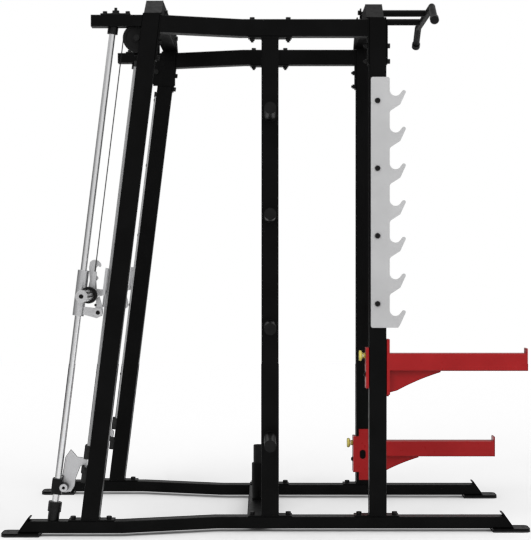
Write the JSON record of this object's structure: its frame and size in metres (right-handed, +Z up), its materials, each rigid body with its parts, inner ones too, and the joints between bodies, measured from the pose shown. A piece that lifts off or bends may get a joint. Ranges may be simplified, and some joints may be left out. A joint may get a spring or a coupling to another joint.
{
  "type": "smith machine",
  "caption": "Steel Smith machine with a leaning guided bar, adjustable safety stops, counterbalance, half rack with hooks, spotter arms and plate storage.",
  "frame": {"origin": "on the floor, under the middle of the bounding box", "axes": "+X from the Smith side to the half rack, +Y across along the bar to the far side, +Z up"},
  "size_m": [2.286, 2.153, 2.345],
  "materials": {
    "black_steel": "fine textured black powder coat with a slight sheen",
    "grey_plate": "light grey satin paint",
    "strip_plate": "mid-grey satin paint",
    "black_rubber": "matt black rubber",
    "black_plastic": "fine-grained matt black plastic",
    "dark_fastener": "black oxide steel with worn edges",
    "chromed_steel": "polished hard chrome",
    "wire_rope": "stranded steel rope with a clear cover",
    "weight_iron": "black painted cast iron",
    "satin_steel": "satin zinc-plated steel",
    "black_block": "satin black paint",
    "red_steel": "smooth deep red powder coat",
    "yellow_plastic": "moulded yellow plastic with a soft gloss"
  },
  "bodies": {
    "frame": {"base_rails": "black_steel", "foot_plates": "black_steel", "foot_pads": "black_rubber", "floor_crossmember": "black_steel", "bar_holder_outer": "black_steel", "bar_holder_inner": "black_plastic", "smith_upright_left": "black_steel", "smith_upright_right": "black_steel", "smith_crossmember": "black_steel", "mid_uprights": "black_steel", "rack_uprights": "black_steel", "rack_crossmember": "black_steel", "top_rails": "black_steel", "joint_plates": "black_steel", "upright_feet": "black_steel", "frame_bolts": "dark_fastener", "gun_rack_left": "grey_plate", "gun_rack_right": "grey_plate", "catch_strip_left": "strip_plate", "catch_strip_right": "strip_plate", "catch_strip_ends": "black_rubber", "storage_horns": "black_steel", "storage_horn_caps": "black_plastic", "guide_rods": "chromed_steel", "rod_arms": "black_steel", "rod_sockets": "dark_fastener", "pulley_brackets": "black_steel", "pulley_axles": "dark_fastener", "cable_wraps": "wire_rope", "cable_fronts": "wire_rope", "cable_rears": "wire_rope", "pull_up_bar": "black_steel", "pull_up_arms": "black_steel", "pull_up_caps": "black_plastic"},
    "carriage": {"carriages": "satin_steel", "linear_bushes": "black_plastic"},
    "smith_bar": {"bar_shaft": "chromed_steel", "lift_hooks": "satin_steel", "bar_collars": "black_plastic", "bar_end_caps": "satin_steel"},
    "weight_sleeve_left": {"weight_sleeve_left": "chromed_steel"},
    "weight_sleeve_right": {"weight_sleeve_right": "chromed_steel"},
    "pulley_left": {"pulley_left": "black_plastic"},
    "counterweight_left": {"counterweight_left": "weight_iron"},
    "pulley_right": {"pulley_right": "black_plastic"},
    "counterweight_right": {"counterweight_right": "weight_iron"},
    "stop_left": {"stop_block_left": "black_block", "stop_pin_left": "satin_steel", "stop_spring_left": "dark_fastener"},
    "stop_hook_left": {"stop_hook_left": "satin_steel"},
    "stop_right": {"stop_block_right": "black_block", "stop_pin_right": "satin_steel", "stop_spring_right": "dark_fastener"},
    "stop_hook_right": {"stop_hook_right": "satin_steel"},
    "spotter_left": {"spotter_arm_left": "red_steel"},
    "pop_pin_left": {"pop_pin_left": "chromed_steel", "pop_pin_knob_left": "yellow_plastic"},
    "spotter_right": {"spotter_arm_right": "red_steel"},
    "pop_pin_right": {"pop_pin_right": "chromed_steel", "pop_pin_knob_right": "yellow_plastic"}
  },
  "joints": [
    {"name": "carriage_slide", "type": "slide", "parent": "frame", "child": "carriage", "axis": [0.121, 0, 0.9927], "range_m": [-0.544, 0.952], "deforming": ["cable_fronts"]},
    {"name": "bar_turn", "type": "hinge", "parent": "carriage", "child": "smith_bar", "pos_m": [-0.76378, 0, 1.03609], "axis": [0, 1, 0], "range_deg": [-10, 23]},
    {"name": "weight_sleeve_left_spin", "type": "hinge", "parent": "smith_bar", "child": "weight_sleeve_left", "pos_m": [-0.76378, -0.925, 1.03609], "axis": [0, 1, 0], "continuous": true},
    {"name": "weight_sleeve_right_spin", "type": "hinge", "parent": "smith_bar", "child": "weight_sleeve_right", "pos_m": [-0.76378, 0.925, 1.03609], "axis": [0, 1, 0], "continuous": true},
    {"name": "pulley_left_turn", "type": "hinge", "parent": "frame", "child": "pulley_left", "pos_m": [-0.56503, -0.685, 2.14096], "axis": [0, 1, 0], "range_deg": [-547.5, 958]},
    {"name": "counterweight_left_slide", "type": "slide", "parent": "frame", "child": "counterweight_left", "axis": [0.121, 0, 0.9927], "range_m": [-0.9525, 0.5445], "deforming": ["cable_rears"]},
    {"name": "pulley_right_turn", "type": "hinge", "parent": "frame", "child": "pulley_right", "pos_m": [-0.56503, 0.685, 2.14096], "axis": [0, 1, 0], "range_deg": [-547.5, 958]},
    {"name": "counterweight_right_slide", "type": "slide", "parent": "frame", "child": "counterweight_right", "axis": [0.121, 0, 0.9927], "range_m": [-0.9525, 0.5445]},
    {"name": "stop_left_slide", "type": "slide", "parent": "frame", "child": "stop_left", "axis": [0.121, 0, 0.9927], "range_m": [0, 0.571]},
    {"name": "stop_hook_left_turn", "type": "hinge", "parent": "stop_left", "child": "stop_hook_left", "pos_m": [-0.87794, -0.6565, 0.20701], "axis": [0, 1, 0], "range_deg": [-12, 3.5]},
    {"name": "stop_right_slide", "type": "slide", "parent": "frame", "child": "stop_right", "axis": [0.121, 0, 0.9927], "range_m": [0, 0.571]},
    {"name": "stop_hook_right_turn", "type": "hinge", "parent": "stop_right", "child": "stop_hook_right", "pos_m": [-0.87794, 0.6565, 0.20701], "axis": [0, 1, 0], "range_deg": [-12, 3.5]},
    {"name": "spotter_left_height", "type": "slide", "parent": "frame", "child": "spotter_left", "axis": [0, 0, 1], "range_m": [-0.4956, 0.5664]},
    {"name": "pop_pin_left_push", "type": "slide", "parent": "spotter_left", "child": "pop_pin_left", "axis": [1, 0, 0], "range_m": [0, 0.012]},
    {"name": "spotter_right_height", "type": "slide", "parent": "frame", "child": "spotter_right", "axis": [0, 0, 1], "range_m": [0, 1.062]},
    {"name": "pop_pin_right_push", "type": "slide", "parent": "spotter_right", "child": "pop_pin_right", "axis": [1, 0, 0], "range_m": [0, 0.012]}
  ],
  "couplings": [
    {"joint": "pulley_left_turn", "follows": "carriage_slide", "rad_per_m": 17.544},
    {"joint": "counterweight_left_slide", "follows": "carriage_slide", "ratio": -1},
    {"joint": "pulley_right_turn", "follows": "carriage_slide", "rad_per_m": 17.544},
    {"joint": "counterweight_right_slide", "follows": "carriage_slide", "ratio": -1}
  ]
}
